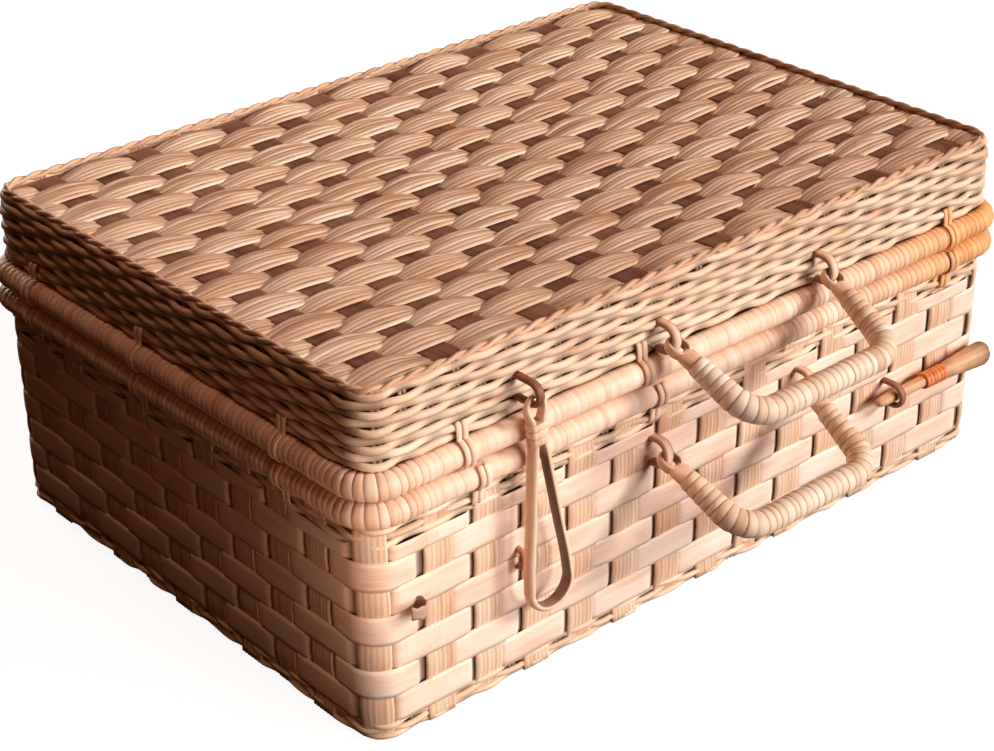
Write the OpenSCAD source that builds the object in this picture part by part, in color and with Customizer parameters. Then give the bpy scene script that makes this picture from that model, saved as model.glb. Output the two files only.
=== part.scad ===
// Woven rattan suitcase with a hinged lid, two carrying handles, a hanging hasp and a locking peg.
// Units are millimetres. X runs along the front, Y to the back, Z up, floor at z = 0.

/* [Case] */
// Length of the case along the front, over the woven wall
case_length = 446; // [410:1:480]
// Depth of the case from front to back, over the woven wall
case_width = 318; // [290:1:346]
// Radius of the upright corners in plan
corner_radius = 15; // [14:0.5:18]
// Height of the body from the floor to the seam
body_height = 134; // [130:1:146]
// Height of the lid from the seam to the woven top sheet
lid_height = 50; // [48:1:60]
// Thickness of the inner layer of the wall
wall_thickness = 2.4; // [2:0.1:3]
// Depth of the inner layer behind the nominal wall face
wall_inset = 0.8; // [0.7:0.1:1]
// Clearance between lid and body at the seam
seam_gap = 0.5; // [0.4:0.1:0.8]

/* [Body weave] */
// Spacing of the upright stakes along the front and back
stake_pitch = 30.5; // [30:0.1:31]
// Spacing of the upright stakes along the ends
end_stake_pitch = 29.9; // [29:0.1:30.5]
// Width of a stake
stake_width = 17; // [14:0.5:19]
// Height of one row of flat weavers
row_pitch = 15; // [14.5:0.1:15]
// Gap between two rows of flat weavers
row_gap = 0.8; // [0.6:0.1:1.2]
// Height of the fine rows at the foot
foot_height = 10; // [9.5:0.1:11]
// Distance of the lowest fine row under the rim below the seam
band_drop = 27; // [26.5:0.5:29]
// Length of one weaver float over a stake
float_length = 44; // [40:1:46]
// Height of the crown of a float in front of the wall face
float_rise = 2.4; // [2:0.1:2.6]

/* [Fine rows] */
// Spacing of the fine rows on the lid skirt
skirt_pitch = 4.35; // [4.2:0.05:4.5]
// Spacing of the fine rows below the body rim
band_pitch = 3.9; // [3.6:0.1:4]
// Spacing of the fine rows at the foot
foot_pitch = 3.2; // [3:0.1:3.3]
// Clearance behind a fine row that lies on the wall
row_seat = 0.05; // [0.05:0.01:0.1]

/* [Lid weave] */
// Thickness of the sheet under the lid weave
sheet_thickness = 2.2; // [2:0.1:3]
// Spacing of the lid stakes along the front
lid_stake_pitch = 30; // [29:0.1:30]
// Width of a lid stake
lid_stake_width = 20; // [16:0.5:21]
// Spacing of the lid weaver rows from front to back
lid_row_pitch = 15; // [14:0.1:15]
// Length of one lid weaver float
lid_float_length = 42; // [38:1:42]
// Rise of a lid float above the sheet
lid_float_rise = 3.8; // [3:0.1:4]
// Radius of the cane round the edge of the lid top
border_radius = 2.2; // [1.8:0.1:2.4]

/* [Rims] */
// Radius of the rim rods
rim_radius = 6.2; // [5.8:0.1:6.3]
// Distance of the rim rod centre in front of the wall face
rim_offset = 1; // [0.5:0.1:1.2]
// Thickness of the cane bound round a rod
bind_thickness = 0.6; // [0.5:0.1:0.7]
// Rise in the middle of each turn of cane
bind_rise = 0.3; // [0.2:0.05:0.35]
// Width of one turn of cane on the rims
bind_pitch = 5.4; // [5:0.1:6]
// Clearance between a rim rod and the cane bound round it
bind_seat = 0.12; // [0.1:0.01:0.14]
// Gap between two turns of cane round a bend, as a share of the turn
turn_gap = 0.08; // [0.05:0.01:0.15]
// Thickness of the ties over the rims
tie_thickness = 1; // [0.8:0.1:1.1]
// Width of one strip of a tie
tie_strip = 3.2; // [2.6:0.1:3.6]
// Length of a tie beyond the rim
tie_tail = 9; // [6:0.5:10]
// Width of a hinge loop at the back
hinge_loop_width = 5; // [4:0.5:6]
// Thickness of a hinge loop
hinge_loop_thickness = 1.8; // [1.4:0.1:2]
// Clearance between a hinge loop and the rods in it
hinge_clearance = 0.35; // [0.3:0.05:0.5]
// Distance of a hinge loop from the middle of the back
hinge_loop_x = 130; // [100:1:150]

/* [Wall loops] */
// Radius of the cane of the loops in the wall
loop_radius = 2.1; // [1.8:0.1:2.2]
// Radius of the bow of a handle loop
loop_bow = 7; // [6.8:0.1:7.5]
// Distance of the bow centre of a handle loop in front of the wall face
loop_reach = 6; // [5.8:0.1:6.5]
// Clearance of the loop ends in the wall
loop_clearance = 0.15; // [0.1:0.05:0.25]

/* [Handles] */
// Distance between the loops of the upper handle
upper_span = 115; // [105:1:120]
// Distance between the loops of the lower handle
lower_span = 107; // [100:1:112]
// Middle of the upper handle along the front
upper_x = 17; // [10:1:24]
// Middle of the lower handle along the front
lower_x = 10; // [5:1:18]
// Height of the upper handle's loops above the seam
upper_rise = 24; // [23.5:0.5:25]
// Distance of the lower handle's loops below the seam
lower_drop = 39; // [38:0.5:42]
// Distance of the grip from the loops
handle_reach = 59; // [54:1:62]
// Radius of the bends of a handle
handle_bend = 16; // [14:0.5:20]
// Slant of the legs towards each other
leg_slant = 6; // [3:0.5:8]
// Hang of the handles below the horizontal
handle_hang = 25; // [22:1:27]
// Radius of the grip under its binding
grip_radius = 6.2; // [5.6:0.1:6.3]
// Radius of a leg at its bare end
leg_radius = 4.8; // [4.4:0.1:5]
// Width of one turn of cane on the handles
wrap_pitch = 4.4; // [4:0.1:5]
// Height of the flattened eye of a handle
eye_height = 6; // [5:0.1:6.4]
// Clearance between the eye of a handle and its loop
eye_seat = 1.5; // [1.45:0.05:1.7]
// Length of the bare end of a leg
bare_end = 20; // [19:0.5:22]

/* [Hasp] */
// Distance of the hasp from the left end
hasp_inset = 90; // [85:1:95]
// Height of the hasp's loop above the seam
hasp_rise = 29.5; // [28:0.5:31]
// Distance of the hasp's pivot below the middle of its loop
hasp_drop = 1.5; // [1.2:0.1:1.5]
// Length of the hasp from its pivot to its lowest point
hasp_length = 121; // [112:1:124]
// Width of the open end of the hasp
hasp_width = 30; // [27:0.5:32]
// Width of the half-round cane of the hasp
hasp_strand = 4.4; // [4:0.1:4.6]
// Depth of the half-round cane of the hasp
hasp_thickness = 5.6; // [5:0.1:5.7]
// Lean of the hanging hasp to the right
hasp_lean = 5; // [3:0.5:6]
// Distance of the hasp in front of the wall face
hasp_out = 12.4; // [12.4:0.1:12.6]
// Distance of the bow centre of the hasp's loop in front of the wall face
hasp_loop_reach = 11.2; // [11.2:0.1:11.4]
// Radius of the bow of the hasp's loop
hasp_loop_bow = 5.6; // [5.6:0.1:6]
// Length of the bound collar of the hasp
collar_length = 12; // [10:0.5:14]

/* [Staples and peg] */
// Distance of the left staple from the left end
left_staple_inset = 89; // [87:0.5:90]
// Height of the left staple above the floor
left_staple_z = 70; // [68:0.5:72]
// Distance of the right staple from the right end
right_staple_inset = 86; // [82:1:90]
// Height of the right staple and the peg above the floor
peg_z = 62; // [58:0.5:64]
// Distance of the peg in front of the wall face
peg_out = 9.5; // [9.3:0.1:10]
// Radius of the bow of the right staple
staple_bow = 6.2; // [6:0.1:6.6]
// Length of the peg
peg_length = 92; // [84:1:94]
// Radius of the peg's thick end
peg_head = 6; // [5.5:0.1:6.2]
// Radius of the peg in the staple
peg_shank = 3.2; // [2.9:0.1:3.2]
// Clearance below the peg in the staple
peg_seat = 0.3; // [0.25:0.05:0.4]
// Radius of the peg's thin end
peg_tip = 2.6; // [2.2:0.1:2.8]
// Length of the peg on the thin side of the staple
peg_lead = 14; // [12:1:16]

/* [Base] */
// Thickness of the base panel
base_thickness = 3; // [2.5:0.1:4]
// Clearance between the base panel and the wall
base_clearance = 0.1; // [0.05:0.05:0.2]

/* [Hidden] */
$fn = 48;
eps = 0.1;
run_x = case_length - 2 * corner_radius;
run_y = case_width - 2 * corner_radius;
front_y = -case_width / 2;
back_y = case_width / 2;
core_out = wall_inset;
core_in = wall_inset + wall_thickness;
bind_radius = rim_radius + bind_thickness;
rim_outer = bind_radius + bind_rise;
body_rim_z = body_height - rim_outer;
lid_base = body_height + seam_gap;
lid_rim_z = lid_base + rim_outer;
sheet_z = body_height + lid_height;
bind_sweep = 2 * acos(-(rim_offset + wall_inset - eps) / bind_radius);
band_start = body_height - band_drop;
skirt_start = lid_rim_z + rim_outer + 0.3;
skirt_rows = floor((sheet_z - skirt_start) / skirt_pitch);
band_rows = floor((body_rim_z - rim_outer - band_start - 0.3) / band_pitch);
foot_count = floor(foot_height / foot_pitch);
front_half = floor((run_x / 2 - 5) / stake_pitch);
end_half = floor((run_y / 2 - 5) / end_stake_pitch);
border_inset = 1 + border_radius;
lid_stakes = floor((case_length - 8 - lid_float_length) / lid_stake_pitch) + 1;
lid_rows = floor((case_width - 2 * border_inset - 2 * border_radius) / lid_row_pitch);
hasp_x = hasp_inset - case_length / 2;
left_staple_x = left_staple_inset - case_length / 2;
right_staple_x = case_length / 2 - right_staple_inset;
upper_z = body_height + upper_rise;
lower_z = body_height - lower_drop;
hasp_z = body_height + hasp_rise;
grip_wrap = grip_radius + bind_thickness;
leg_length = (handle_reach - handle_bend * (1 - sin(leg_slant))) / cos(leg_slant);
corner_tail = 9;
left_staple_bow = 5;
left_staple_reach = 1.2;
front_tie_x = [40 - run_x / 2, -53, run_x / 2 - 27];
front_body_tie_x = [49 - run_x / 2, -43, run_x / 2 - 25];
end_tie_y = [44 - run_y / 2, 19, run_y / 2 - 25];
collar_z = -2 * hasp_loop_bow - 1.8;
hasp_top = hasp_loop_bow + 0.8;
peg_drop = staple_bow - loop_radius - peg_shank - peg_seat;
hasp_bar = 1.4;

// Plan outline of the case, set in by d
module outline(d) {
  r = corner_radius - d;
  square([run_x + 2 * r, run_y], center = true);
  square([run_x, run_y + 2 * r], center = true);
  for (sx = [-1, 1], sy = [-1, 1])
    translate([sx * run_x / 2, sy * run_y / 2])
      circle(r = r);
}

// Upright wall of the case between two insets
module ring_wall(outer, inner, z0, z1) {
  translate([0, 0, z0])
    linear_extrude(height = z1 - z0)
      difference() {
        outline(outer);
        outline(inner);
      }
}

// Carries a profile (outwards, up) round the case along the wall face
module round_case() {
  for (i = [0 : 3]) {
    off = i % 2 == 0 ? run_x / 2 : run_y / 2;
    run = i % 2 == 0 ? run_y : run_x;
    rotate([0, 0, 90 * i])
      translate([off, run / 2, 0]) {
        rotate([90, 0, 0])
          linear_extrude(height = run)
            translate([corner_radius, 0])
              children();
        rotate_extrude(angle = 90)
          translate([corner_radius, 0])
            children();
      }
  }
}

// Profile of fine round rows, one above the other, standing on the line x = -back
module fine_rows(count, pitch, z0, back) {
  intersection() {
    translate([-back, z0])
      square([back + pitch, count * pitch]);
    union() {
      translate([-back, z0])
        square([back, count * pitch]);
      for (k = [0 : count - 1])
        translate([-0.3, z0 + (k + 0.5) * pitch])
          circle(r = pitch / 2 + 0.05);
    }
  }
}

// Puts things on each wall: side 0 is the right end, 1 the back, 2 the left end, 3 the front
module on_wall(side) {
  rotate([0, 0, 90 * side])
    translate([side % 2 == 0 ? case_length / 2 : case_width / 2, 0, 0])
      rotate([0, 0, -90])
        children();
}

// Plan of one arched float, x along the wall between two limits and y outwards
module float_plan(length, rise, sink, from, to) {
  sagitta = rise + sink;
  r = (length * length / 4 + sagitta * sagitta) / (2 * sagitta);
  intersection() {
    translate([0, rise - r])
      circle(r = r, $fn = 180);
    translate([from, -sink])
      square([to - from, 2 * sagitta]);
  }
}

// Stakes and arched weaver floats on one straight wall
module woven_wall(half, pitch, run) {
  rows = ceil((band_start - foot_height) / row_pitch);
  sink = wall_inset + 0.4;
  limit = run / 2 + 7;
  for (i = [-half : half]) {
    translate([i * pitch - stake_width / 2, -sink, foot_height])
      cube([stake_width, sink + 0.1, band_start - foot_height]);
    for (j = [0 : rows - 1])
      if ((i + half + j) % 2 == 0)
        translate([i * pitch, 0, foot_height + j * row_pitch])
          linear_extrude(height = min(row_pitch - row_gap, band_start - foot_height - j * row_pitch))
            float_plan(float_length, float_rise, sink,
              max(-float_length, -limit - i * pitch), min(float_length, limit - i * pitch));
  }
}

// Weaver floats round one corner, with a short straight end on both walls
module woven_corner() {
  rows = ceil((band_start - foot_height) / row_pitch);
  inner = corner_radius - wall_inset - 0.4;
  for (j = [0 : rows - 1])
    if (j % 2 == 1) {
      high = min(row_pitch - row_gap, band_start - foot_height - j * row_pitch);
      translate([0, 0, foot_height + j * row_pitch]) {
        rotate_extrude(angle = 90)
          translate([inner, 0])
            square([wall_inset + 2, high]);
        translate([inner, -corner_tail, 0])
          cube([wall_inset + 2, corner_tail, high]);
        translate([0, inner, 0])
          rotate([0, 0, 90])
            cube([wall_inset + 2, corner_tail, high]);
      }
    }
}

// Bow of cane standing out of the front wall, in the upright plane across it
module wall_loop(reach, bow, r) {
  for (s = [-1, 1])
    translate([0, 3, s * bow])
      rotate([90, 0, 0])
        cylinder(h = reach + 3, r = r);
  translate([0, -reach, 0])
    rotate([180, -90, 0])
      rotate_extrude(angle = 180)
        translate([bow, 0])
          circle(r = r);
}

// Holes in the wall for the ends of a wall loop
module loop_holes(bow, r) {
  for (s = [-1, 1])
    translate([0, 8, s * bow])
      rotate([90, 0, 0])
        cylinder(h = 16, r = r + loop_clearance);
}

// Tube of flat cane turns along a straight rod, standing on z = 0
module turns(length, inner0, inner1, thick, count, sweep = 360) {
  p = length / count;
  outer = function (z) inner0 + (inner1 - inner0) * z / length + thick;
  pts = [for (i = [0 : count - 1], k = [0 : 2])
    let (z = (i + [0, 0.3, 0.7][k]) * p) [outer(z) + (k == 0 ? 0 : bind_rise), z]];
  rotate([0, 0, -sweep / 2])
    rotate_extrude(angle = sweep)
      polygon(concat([[inner0, 0]], pts, [[outer(length), length], [inner1, length]]));
}

// Section of the rim rod, flat against the wall
module rim_section(z) {
  intersection() {
    translate([rim_offset, z])
      circle(r = rim_radius);
    translate([-wall_inset + eps / 2, z - 2 * rim_radius])
      square([4 * rim_radius, 4 * rim_radius]);
  }
}

// Section of the binding of a rim, open on the side of the wall
module binding_section(z) {
  half = bind_sweep / 2;
  far = 3 * rim_radius;
  translate([rim_offset, z])
    intersection() {
      difference() {
        circle(r = rim_outer);
        circle(r = rim_radius + bind_seat);
      }
      polygon([[0, 0], [far * cos(half), -far * sin(half)], [far, -far * sin(half)],
        [far, far * sin(half)], [far * cos(half), far * sin(half)]]);
    }
}

// Flat cane bound round a rim, with each turn raised
module rim_binding(z) {
  corner_turns = floor((corner_radius + rim_offset) * PI / 2 / bind_pitch);
  step = 90 / corner_turns;
  seat = rim_radius + bind_seat;
  for (i = [0 : 3]) {
    off = i % 2 == 0 ? run_x / 2 : run_y / 2;
    run = i % 2 == 0 ? run_y : run_x;
    rotate([0, 0, 90 * i])
      translate([off, run / 2, 0]) {
        translate([corner_radius + rim_offset, 0, z])
          rotate([90, 0, 0])
            turns(run, seat, seat, bind_radius - seat, floor(run / bind_pitch), bind_sweep);
        for (k = [0 : corner_turns - 1])
          rotate([0, 0, (k + turn_gap / 2) * step])
            rotate_extrude(angle = (1 - turn_gap) * step)
              translate([corner_radius, 0])
                binding_section(z);
      }
  }
}

// Tie of two cane strips over a rim: x along the wall, y outwards, up = 1 for the lid
module rim_tie(z, up) {
  for (s = [-1, 1])
    translate([s * (tie_strip / 2 + 0.2) - tie_strip / 2, 0, z])
      rotate([90, 0, 90])
        linear_extrude(tie_strip)
          tie_side(up);
}

// Side of a tie: x outwards from the wall, y up
module tie_side(up) {
  r0 = rim_outer + row_seat;
  r1 = r0 + tie_thickness;
  face = 2.2;
  top = acos((face - rim_offset) / r0);
  far = 3 * r1;
  tail_from = r0 * sin(top) - 0.1;
  translate([rim_offset, 0])
    intersection() {
      difference() {
        circle(r1);
        circle(r0);
      }
      polygon([
        [0, 0],
        [far * cos(50), -up * far * sin(50)],
        [far, 0],
        [far * cos(top), up * far * sin(top)]
      ]);
    }
  translate([face, up > 0 ? tail_from : -tail_from - tie_tail])
    square([tie_thickness, tie_tail]);
}

// Plan of the eye at the end of a handle leg, y along the leg
module eye_plan() {
  hole = loop_radius + 1.4;
  near = loop_bow - loop_radius - eye_seat + hole;
  difference() {
    union() {
      translate([0, near])
        circle(r = hole + 2.6);
      polygon([[-hole - 2.6, near], [hole + 2.6, near], [leg_radius, bare_end], [-leg_radius, bare_end]]);
    }
    translate([0, near])
      circle(r = hole);
    translate([0, near + 1.6])
      circle(r = hole);
    translate([-hole, near])
      square([2 * hole, 1.6]);
  }
}

// Solid path of a handle: legs, bends and grip
module handle_path(span) {
  bar = span / 2 - leg_length * sin(leg_slant) - handle_bend * cos(leg_slant);
  for (s = [0, 1])
    mirror([s, 0, 0])
      translate([span / 2, 0, 0])
        rotate([0, 0, leg_slant]) {
          translate([0, bare_end - 1, 0])
            rotate([-90, 0, 0])
              cylinder(h = leg_length - bare_end + 1, r1 = leg_radius, r2 = grip_radius);
          translate([-handle_bend, leg_length, 0])
            rotate_extrude(angle = 90 - leg_slant)
              translate([handle_bend, 0])
                circle(r = grip_radius);
        }
  translate([-bar - 0.5, handle_reach, 0])
    rotate([0, 90, 0])
      cylinder(h = 2 * bar + 1, r = grip_radius + 0.03);
}

// Rod of a handle with its shaved, folded ends
module handle_rod(span) {
  handle_path(span);
  for (s = [0, 1])
    mirror([s, 0, 0])
      translate([span / 2, 0, 0])
        rotate([0, 0, leg_slant])
          translate([0, 0, -eye_height / 2])
            linear_extrude(height = eye_height)
              eye_plan();
}

// Section of the cane round a handle
module tube_section() {
  difference() {
    circle(r = grip_wrap + bind_rise);
    circle(r = grip_radius + row_seat);
  }
}

// Cane bound round a handle
module handle_wrap(span) {
  bar = span / 2 - leg_length * sin(leg_slant) - handle_bend * cos(leg_slant);
  seat = row_seat;
  bend_turns = floor(handle_bend * (90 - leg_slant) * PI / 180 / wrap_pitch);
  step = (90 - leg_slant) / bend_turns;
  leg_run = leg_length - bare_end;
  leg_start = leg_radius + (grip_radius - leg_radius) / (leg_run + 1);
  for (s = [0, 1])
    mirror([s, 0, 0])
      translate([span / 2, 0, 0])
        rotate([0, 0, leg_slant]) {
          translate([0, bare_end, 0])
            rotate([-90, 0, 0])
              turns(leg_run, leg_start + seat, grip_radius + seat, bind_thickness,
                floor(leg_run / wrap_pitch));
          translate([-handle_bend, leg_length, 0])
            for (k = [0 : bend_turns - 1])
              rotate([0, 0, (k + turn_gap / 2) * step])
                rotate_extrude(angle = (1 - turn_gap) * step)
                  translate([handle_bend, 0])
                    tube_section();
        }
  translate([-bar, handle_reach, 0])
    rotate([0, 90, 0])
      turns(2 * bar, grip_radius + seat, grip_radius + seat, bind_thickness, floor(2 * bar / wrap_pitch));
}

// Places a handle on the front at its loops
module on_front(x, z, out) {
  translate([x, front_y - out, z])
    children();
}

// Plan of the hasp in the upright plane, origin at its pivot, open at the top
module hasp_plan() {
  low = -hasp_length + hasp_width / 2;
  neck = collar_z - collar_length - 1;
  half = hasp_strand + 0.4;
  top = hasp_top;
  difference() {
    union() {
      translate([0, low])
        circle(r = hasp_width / 2);
      polygon([[-half, collar_z], [-half, neck], [-hasp_width / 2, low], [hasp_width / 2, low], [half, neck],
        [half, collar_z], [top, -4], [top, 1], [-top, 1], [-top, -4]]);
    }
    translate([0, low])
      circle(r = hasp_width / 2 - hasp_strand);
    polygon([[-0.5, neck - 2], [0.5, neck - 2],
      [hasp_width / 2 - hasp_strand, low], [-hasp_width / 2 + hasp_strand, low]]);
    polygon([[-0.5, collar_z + 1], [0.5, collar_z + 1], [top - 2.6, -5], [top - 2.6, 2],
      [-top + 2.6, 2], [-top + 2.6, -5]]);
  }
}

module body_basket() {
  color("tan")
    difference() {
      union() {
        ring_wall(core_out, core_in, 0, body_height);
        for (side = [0 : 3])
          on_wall(side)
            if (side % 2 == 0)
              woven_wall(end_half, end_stake_pitch, run_y);
            else
              woven_wall(front_half, stake_pitch, run_x);
        for (i = [0 : 3])
          rotate([0, 0, 90 * i])
            translate([i % 2 == 0 ? run_x / 2 : run_y / 2, i % 2 == 0 ? run_y / 2 : run_x / 2, 0])
              woven_corner();
      }
      for (s = [-1, 1])
        on_front(lower_x + s * lower_span / 2, lower_z, 0)
          loop_holes(loop_bow, loop_radius);
      on_front(left_staple_x, left_staple_z, 0)
        loop_holes(left_staple_bow, 1.6);
      on_front(right_staple_x, peg_z, 0)
        loop_holes(staple_bow, loop_radius);
      hinge_notches(body_rim_z, rim_outer + hinge_clearance + hinge_loop_thickness + 0.4);
    }
}

// Room in a wall for the hinge loops
module hinge_notches(z, r) {
  for (s = [-1, 1])
    translate([s * hinge_loop_x - hinge_loop_width / 2 - 1, back_y + rim_offset, z])
      rotate([0, 90, 0])
        cylinder(h = hinge_loop_width + 2, r = r);
}

module base_panel() {
  half = (lid_stakes - 1) / 2;
  color("tan") {
    linear_extrude(height = base_thickness)
      outline(core_in + base_clearance);
    for (i = [0 : lid_stakes - 1])
      translate([(i - half) * lid_stake_pitch - stake_width / 2, -run_y / 2, base_thickness - eps])
        cube([stake_width, run_y, 1]);
  }
}

module foot_rows() {
  color("burlywood")
    round_case()
      fine_rows(foot_count, foot_pitch, 0, wall_inset - row_seat);
}

module body_band() {
  color("burlywood")
    difference() {
      round_case()
        fine_rows(band_rows, band_pitch, band_start + 0.3, wall_inset - row_seat);
      hinge_notches(body_rim_z, rim_outer + hinge_clearance + hinge_loop_thickness + 0.4);
    }
}

module body_rim() {
  color("peru")
    round_case()
      rim_section(body_rim_z);
}

module body_rim_binding() {
  color("wheat")
    rim_binding(body_rim_z);
}

module body_rim_ties() {
  color("wheat") {
    for (x = front_body_tie_x)
      on_wall(3)
        translate([-x, 0, 0])
          mirror([1, 0, 0])
            rim_tie(body_rim_z, -1);
    for (y = end_tie_y, side = [0, 2])
      on_wall(side)
        translate([side == 0 ? -y : y, 0, 0])
          rim_tie(body_rim_z, -1);
  }
}

module hinge_loops() {
  r0 = rim_outer + hinge_clearance;
  r1 = r0 + hinge_loop_thickness;
  h = lid_rim_z - body_rim_z;
  color("wheat")
    for (s = [-1, 1])
      translate([s * hinge_loop_x - hinge_loop_width / 2, back_y + rim_offset, body_rim_z])
        rotate([90, 0, 90])
          linear_extrude(height = hinge_loop_width)
            difference() {
              union() {
                circle(r = r1);
                translate([0, h])
                  circle(r = r1);
                translate([-r1, 0])
                  square([2 * r1, h]);
              }
              circle(r = r0);
              translate([0, h])
                circle(r = r0);
              translate([-r0, 0])
                square([2 * r0, h]);
            }
}

module lower_handle_loops() {
  color("sienna")
    for (s = [-1, 1])
      on_front(lower_x + s * lower_span / 2, lower_z, 0)
        wall_loop(loop_reach, loop_bow, loop_radius);
}

module left_staple() {
  color("sienna")
    on_front(left_staple_x, left_staple_z, 0)
      wall_loop(left_staple_reach, left_staple_bow, 1.6);
}

module right_staple() {
  color("sienna")
    on_front(right_staple_x, peg_z, 0)
      wall_loop(peg_out, staple_bow, loop_radius);
}

module lid_panel() {
  half_r = (lid_rows - 1) / 2;
  half_s = (lid_stakes - 1) / 2;
  color("tan") {
    translate([0, 0, sheet_z])
      linear_extrude(height = sheet_thickness)
        outline(core_out);
    for (i = [-half_s : half_s])
      translate([i * lid_stake_pitch - lid_stake_width / 2, -lid_rows * lid_row_pitch / 2,
          sheet_z + sheet_thickness - eps])
        cube([lid_stake_width, lid_rows * lid_row_pitch, 0.8 + eps]);
    for (j = [-half_r : half_r], i = [-half_s : half_s])
      if ((i + half_s + j + half_r) % 2 == 0)
        translate([i * lid_stake_pitch, j * lid_row_pitch + (lid_row_pitch - row_gap) / 2,
            sheet_z + sheet_thickness])
          rotate([90, 0, 0])
            linear_extrude(height = lid_row_pitch - row_gap)
              float_plan(lid_float_length, lid_float_rise, eps, -lid_float_length, lid_float_length);
  }
}

module lid_border() {
  color("sienna")
    round_case()
      translate([-border_inset, sheet_z + sheet_thickness + border_radius + row_seat])
        circle(r = border_radius);
}

module lid_skirt() {
  color("burlywood")
    difference() {
      round_case() {
        translate([-core_in, lid_base])
          square([wall_thickness, sheet_z - lid_base]);
        fine_rows(skirt_rows, skirt_pitch, skirt_start, wall_inset + eps);
      }
      for (s = [-1, 1])
        on_front(upper_x + s * upper_span / 2, upper_z, 0)
          loop_holes(loop_bow, loop_radius);
      on_front(hasp_x, hasp_z, 0)
        loop_holes(hasp_loop_bow, 2);
      hinge_notches(lid_rim_z, 11.5);
    }
}

module lid_rim() {
  color("peru")
    round_case()
      rim_section(lid_rim_z);
}

module lid_rim_binding() {
  color("wheat")
    rim_binding(lid_rim_z);
}

module lid_rim_ties() {
  color("wheat") {
    for (x = front_tie_x)
      on_wall(3)
        translate([-x, 0, 0])
          mirror([1, 0, 0])
            rim_tie(lid_rim_z, 1);
    for (y = end_tie_y, side = [0, 2])
      on_wall(side)
        translate([side == 0 ? -y : y, 0, 0])
          rim_tie(lid_rim_z, 1);
  }
}

module upper_handle_loops() {
  color("sienna")
    for (s = [-1, 1])
      on_front(upper_x + s * upper_span / 2, upper_z, 0)
        wall_loop(loop_reach, loop_bow, loop_radius);
}

module hasp_loop() {
  color("sienna")
    on_front(hasp_x, hasp_z, 0)
      wall_loop(hasp_loop_reach, hasp_loop_bow, 2);
}

module upper_handle() {
  color("peru")
    on_front(upper_x, upper_z, loop_reach)
      rotate([180 + handle_hang, 0, 0])
        handle_rod(upper_span);
}

module upper_handle_wrap() {
  color("wheat")
    on_front(upper_x, upper_z, loop_reach)
      rotate([180 + handle_hang, 0, 0])
        handle_wrap(upper_span);
}

module lower_handle() {
  color("peru")
    on_front(lower_x, lower_z, loop_reach)
      rotate([180 + handle_hang, 0, 0])
        handle_rod(lower_span);
}

module lower_handle_wrap() {
  color("wheat")
    on_front(lower_x, lower_z, loop_reach)
      rotate([180 + handle_hang, 0, 0])
        handle_wrap(lower_span);
}

module hasp() {
  color("sienna")
    on_front(hasp_x, hasp_z - hasp_drop, hasp_out) {
      rotate([0, -hasp_lean, 0])
        translate([0, hasp_thickness / 2, 0])
          rotate([90, 0, 0])
            linear_extrude(height = hasp_thickness)
              hasp_plan();
      translate([-hasp_top + 0.4, 0, 0])
        rotate([0, 90, 0])
          cylinder(h = 2 * hasp_top - 0.8, r = hasp_bar);
    }
}

module hasp_collar() {
  w = 2 * hasp_strand + 0.8 + 2 * row_seat;
  color("wheat")
    on_front(hasp_x, hasp_z - hasp_drop, hasp_out)
      rotate([0, -hasp_lean, 0])
        translate([0, 0, collar_z - collar_length])
          linear_extrude(height = collar_length)
            difference() {
              square([w + 2, hasp_thickness + 2 * row_seat + 2], center = true);
              square([w, hasp_thickness + 2 * row_seat], center = true);
            }
}

module locking_peg() {
  neck = peg_lead + 24;
  color("peru")
    on_front(right_staple_x - peg_lead, peg_z - peg_drop, peg_out)
      rotate([0, 90, 0])
        rotate_extrude()
          polygon([[0, 0], [peg_tip - 0.8, 0], [peg_tip, 1.5], [peg_shank, 9], [peg_shank, neck + 18],
            [4.6, neck + 22], [peg_head, peg_length - 8], [peg_head, peg_length - 2],
            [peg_head - 1.2, peg_length], [0, peg_length]]);
}

module peg_collar() {
  neck = peg_lead + 24;
  color("chocolate")
    on_front(right_staple_x - peg_lead + neck + 0.2, peg_z - peg_drop, peg_out)
      rotate([0, 90, 0])
        turns(17.6, peg_shank + row_seat, peg_shank + row_seat, 1.2, 6);
}

body_basket();
base_panel();
foot_rows();
body_band();
body_rim();
body_rim_binding();
body_rim_ties();
hinge_loops();
lower_handle_loops();
left_staple();
right_staple();
lid_panel();
lid_border();
lid_skirt();
lid_rim();
lid_rim_binding();
lid_rim_ties();
upper_handle_loops();
hasp_loop();
upper_handle();
upper_handle_wrap();
lower_handle();
lower_handle_wrap();
hasp();
hasp_collar();
locking_peg();
peg_collar();
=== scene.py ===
"""Rattan suitcase: woven pieces, materials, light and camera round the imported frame."""
import math

import bpy
import numpy as np
from mathutils import Matrix, Vector


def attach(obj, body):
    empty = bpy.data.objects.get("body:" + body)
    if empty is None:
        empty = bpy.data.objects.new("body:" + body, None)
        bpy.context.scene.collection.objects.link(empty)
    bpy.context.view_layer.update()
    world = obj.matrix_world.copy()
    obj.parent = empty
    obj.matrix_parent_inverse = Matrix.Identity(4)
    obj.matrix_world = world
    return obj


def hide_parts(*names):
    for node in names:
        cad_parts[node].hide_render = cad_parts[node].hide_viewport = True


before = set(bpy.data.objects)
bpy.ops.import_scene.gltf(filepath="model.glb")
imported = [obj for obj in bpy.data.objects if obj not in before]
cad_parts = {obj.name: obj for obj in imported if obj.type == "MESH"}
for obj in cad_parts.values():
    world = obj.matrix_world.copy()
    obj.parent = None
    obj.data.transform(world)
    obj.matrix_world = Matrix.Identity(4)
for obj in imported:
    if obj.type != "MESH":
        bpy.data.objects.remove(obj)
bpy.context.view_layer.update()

rng = np.random.default_rng(11)

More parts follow.
